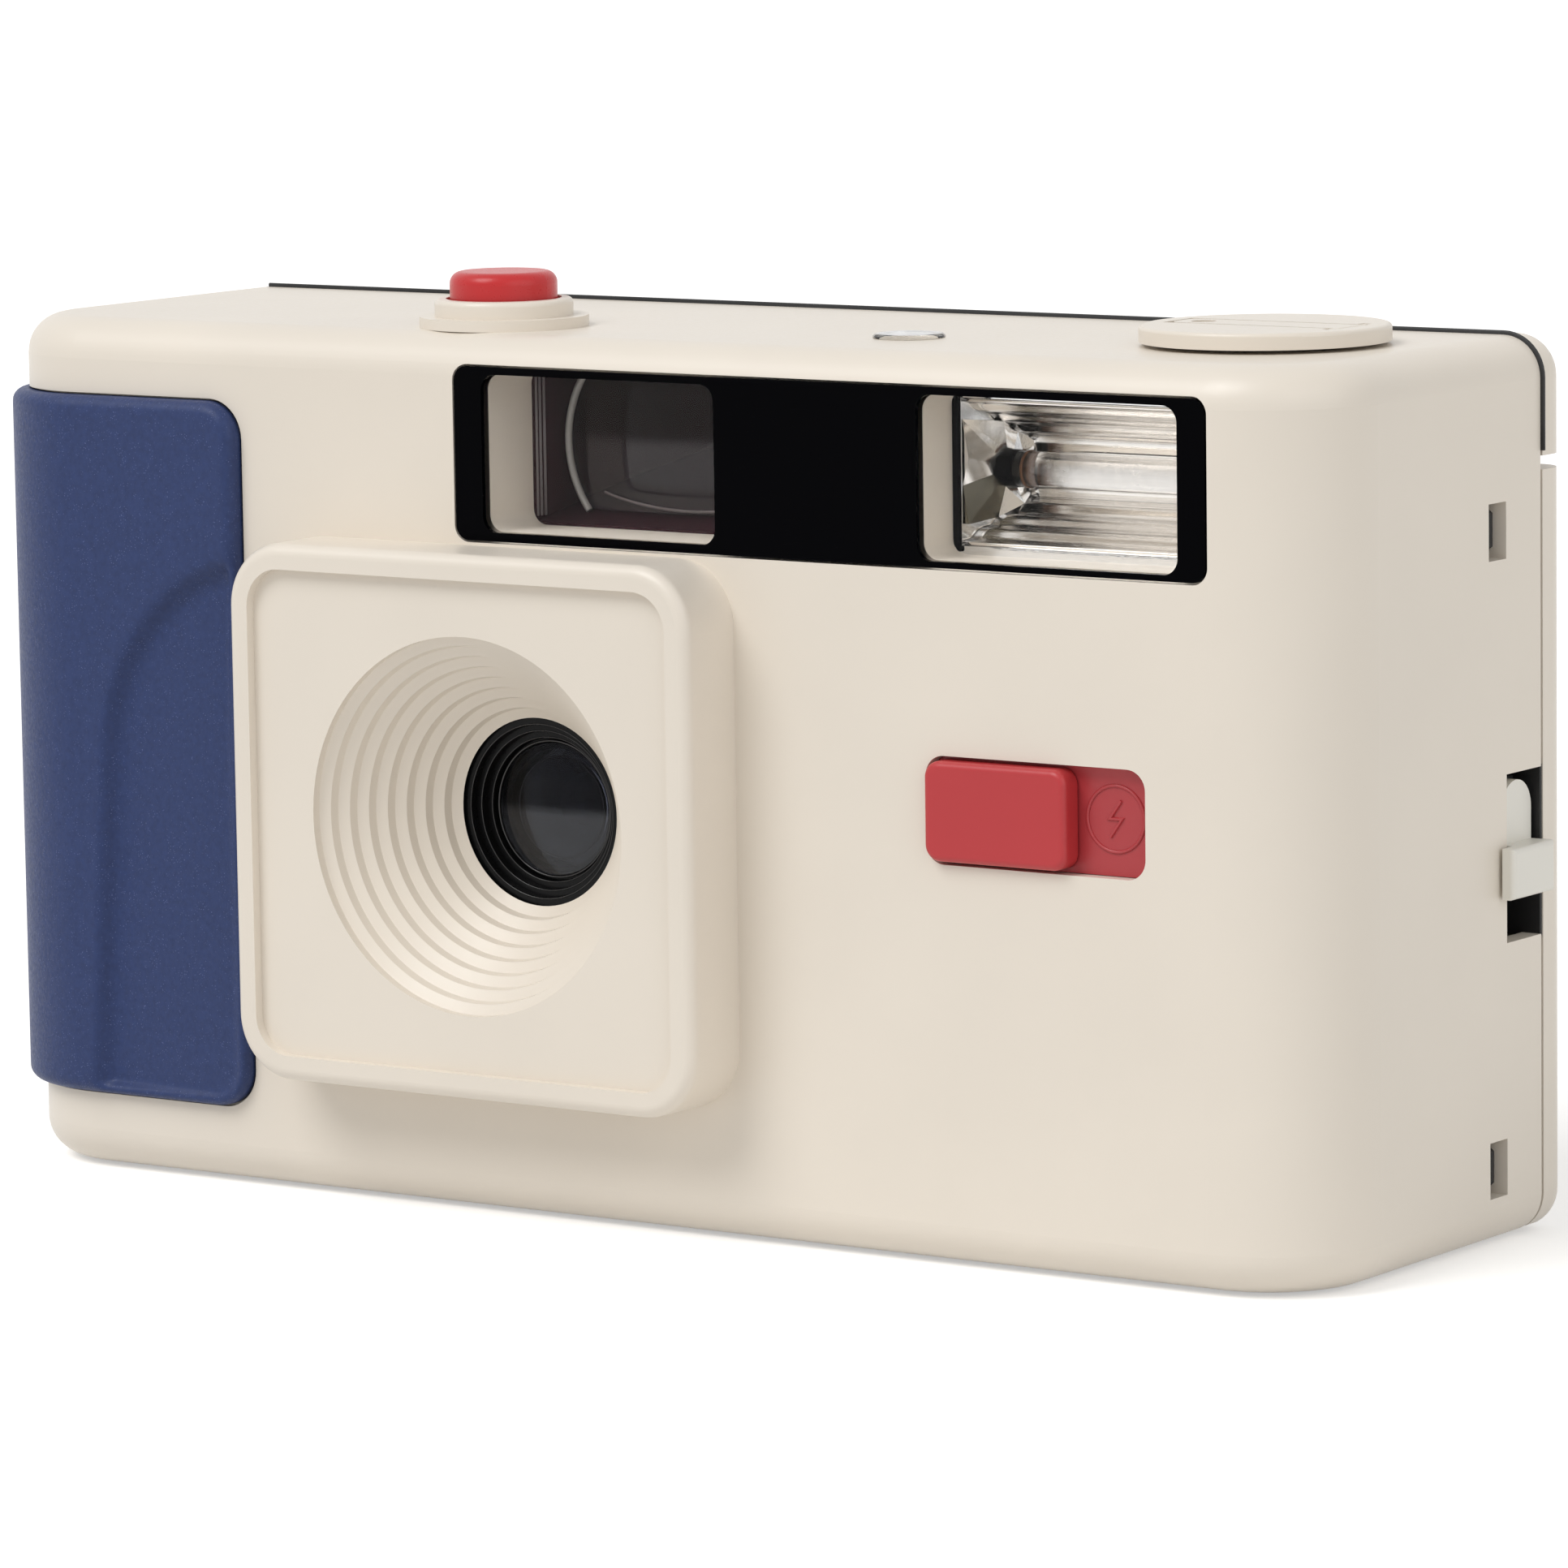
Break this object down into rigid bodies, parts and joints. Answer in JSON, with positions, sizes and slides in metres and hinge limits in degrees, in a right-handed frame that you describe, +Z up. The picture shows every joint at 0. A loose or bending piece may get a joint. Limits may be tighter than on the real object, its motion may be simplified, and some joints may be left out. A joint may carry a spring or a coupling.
{
  "type": "film camera",
  "caption": "Compact 35 mm film camera with a square lens hood, a blue grip, a flash window bar, a red button and switch and a hinged back.",
  "frame": {"origin": "centre of the flat underside, at mid width and mid depth of the body", "axes": "+X to the right seen from the front, -Y out of the lens, +Z up"},
  "size_m": [0.1206, 0.0434, 0.0693],
  "materials": {
    "shell_cream": "smooth satin moulded plastic",
    "grip_blue": "soft-touch coat with a fine light grain",
    "red": "satin moulded plastic",
    "black_gloss": "polished black",
    "black_matte": "fine matt black",
    "clear": "polished clear",
    "steel": "plain steel",
    "reflector": "bright mirror metal",
    "board_green": "circuit board",
    "capacitor_sleeve": "shrink sleeve",
    "disc_white": "plain white"
  },
  "bodies": {
    "camera": {"front_shell": "shell_cream", "grip": "grip_blue", "lens_hood": "shell_cream", "window_mask": "black_gloss", "window_pane": "clear", "lens_barrel": "black_matte", "front_lens": "clear", "rear_lens": "clear", "lens_ring": "black_matte", "light_box": "black_matte", "film_gate": "black_matte", "gate_screws": "steel", "board_screws": "steel", "cartridge_chamber": "black_matte", "takeup_chamber": "black_matte", "transport_plate": "black_matte", "counter_window": "clear", "button_collar": "shell_cream", "switch_plate": "red", "finder_tube": "black_matte", "finder_lens": "clear", "eyepiece": "clear", "flash_reflector": "reflector", "flash_tube": "clear", "flash_board": "board_green", "flash_capacitor": "capacitor_sleeve", "battery_tray": "black_matte", "battery_contacts": "steel", "rear_cover": "shell_cream", "hinge_pin": "steel"},
    "button": {"shutter_button": "red"},
    "switch": {"flash_switch": "red"},
    "rewind": {"rewind_knob": "shell_cream"},
    "crank": {"rewind_crank": "shell_cream"},
    "door": {"back_door": "shell_cream", "pressure_plate": "black_matte", "pressure_spring": "steel"},
    "latch": {"latch_bar": "black_matte", "latch_knob": "shell_cream"},
    "wheel": {"advance_wheel": "black_matte"},
    "spool": {"takeup_spool": "black_matte"},
    "sprocket": {"sprocket": "black_matte"},
    "counter": {"counter_disc": "disc_white"},
    "blade": {"shutter_blade": "steel"},
    "hatch": {"battery_hatch": "shell_cream"},
    "release": {"rewind_release": "black_matte"}
  },
  "joints": [
    {"name": "shutter_press", "type": "slide", "parent": "camera", "child": "button", "axis": [0, 0, -1], "range_m": [0, 0.0013], "stiffness_N_per_m": 400},
    {"name": "flash_slide", "type": "slide", "parent": "camera", "child": "switch", "axis": [1, 0, 0], "range_m": [0, 0.0058]},
    {"name": "rewind_turn", "type": "hinge", "parent": "camera", "child": "rewind", "pos_m": [0.0448, -0.0004, 0.066], "axis": [0, 0, 1], "continuous": true},
    {"name": "crank_fold", "type": "hinge", "parent": "rewind", "child": "crank", "pos_m": [0.0515, -0.0004, 0.0664], "axis": [0, 1, 0], "range_deg": [0, 110]},
    {"name": "door_hinge", "type": "hinge", "parent": "camera", "child": "door", "pos_m": [-0.05715, 0.01615, 0.028], "axis": [0, 0, 1], "range_deg": [0, 115]},
    {"name": "latch_slide", "type": "slide", "parent": "camera", "child": "latch", "axis": [0, 0, -1], "range_m": [0, 0.0027]},
    {"name": "advance_turn", "type": "hinge", "parent": "camera", "child": "wheel", "pos_m": [-0.044, 0.0096, 0.0597], "axis": [0, 0, 1], "continuous": true},
    {"name": "spool_turn", "type": "hinge", "parent": "camera", "child": "spool", "pos_m": [-0.046, 0.002, 0.03], "axis": [0, 0, 1], "continuous": true},
    {"name": "sprocket_turn", "type": "hinge", "parent": "camera", "child": "sprocket", "pos_m": [-0.032, 0.00766, 0.048], "axis": [0, 0, 1], "continuous": true},
    {"name": "counter_turn", "type": "hinge", "parent": "camera", "child": "counter", "pos_m": [0.0182, -0.0002, 0.0624], "axis": [0, 0, 1], "continuous": true},
    {"name": "blade_swing", "type": "hinge", "parent": "camera", "child": "blade", "pos_m": [-0.0038, -0.00675, 0.0373], "axis": [0, 1, 0], "range_deg": [0, 34]},
    {"name": "hatch_hinge", "type": "hinge", "parent": "camera", "child": "hatch", "pos_m": [0.001, -0.00135, 0.0007], "axis": [1, 0, 0], "range_deg": [0, 95]},
    {"name": "release_press", "type": "slide", "parent": "camera", "child": "release", "axis": [0, 0, 1], "range_m": [0, 0.0008], "stiffness_N_per_m": 200}
  ],
  "couplings": [
    {"joint": "spool_turn", "follows": "advance_turn", "ratio": -1},
    {"joint": "sprocket_turn", "follows": "advance_turn", "ratio": 1.2125},
    {"joint": "counter_turn", "follows": "advance_turn", "ratio": 0.02274}
  ]
}
